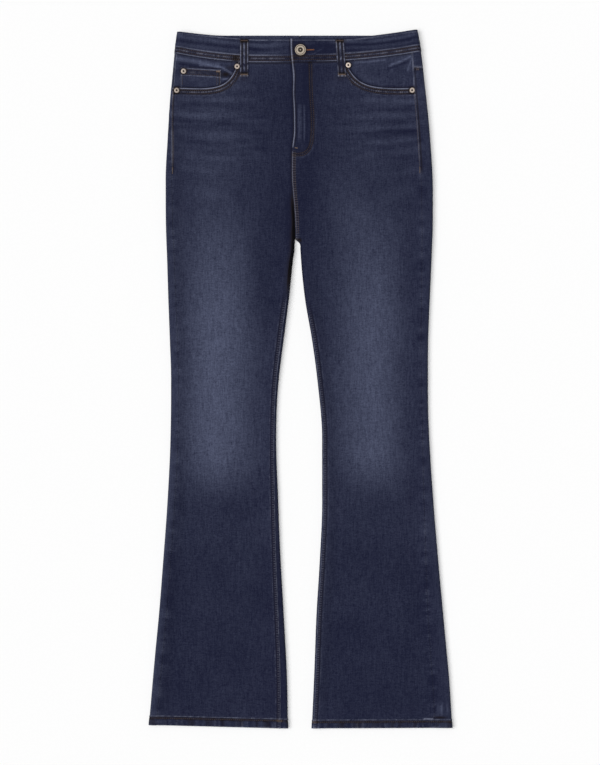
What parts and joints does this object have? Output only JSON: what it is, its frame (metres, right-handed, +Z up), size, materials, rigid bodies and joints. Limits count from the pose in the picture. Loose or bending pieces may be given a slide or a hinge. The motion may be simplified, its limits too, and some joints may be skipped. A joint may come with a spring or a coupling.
{
  "type": "flared jeans",
  "caption": "Flared full-length jeans laid flat on their back, front up: contour waistband with button and belt loops, curved front pockets with rivets, fly, hip yokes and flared legs",
  "frame": {"origin": "centre of the garment's overall box, on the surface it lies on", "axes": "+Y along the legs up to the waist, +X to the wearer's left, +Z up off the surface through the front"},
  "size_m": [0.4772, 1.1002, 0.0123],
  "materials": {
    "denim": "washed indigo stretch denim",
    "zip_tape": "woven zip tape",
    "metal": "antiqued pale metal"
  },
  "bodies": {
    "root": {"front_right": "denim", "front_left": "denim", "back_right": "denim", "back_left": "denim", "yoke_right": "denim", "yoke_left": "denim", "waistband_right": "denim", "waistband_left": "denim", "facing_right": "denim", "facing_left": "denim", "coin_pocket": "denim", "back_pocket_right": "denim", "back_pocket_left": "denim", "loop_front_right": "denim", "loop_front_left": "denim", "loop_back_right": "denim", "loop_back_centre": "denim", "loop_back_left": "denim", "fly_zip": "zip_tape", "button": "metal", "rivet_right_inner": "metal", "rivet_right_outer": "metal", "rivet_left_inner": "metal", "rivet_left_outer": "metal", "rivet_coin": "metal"}
  },
  "joints": []
}
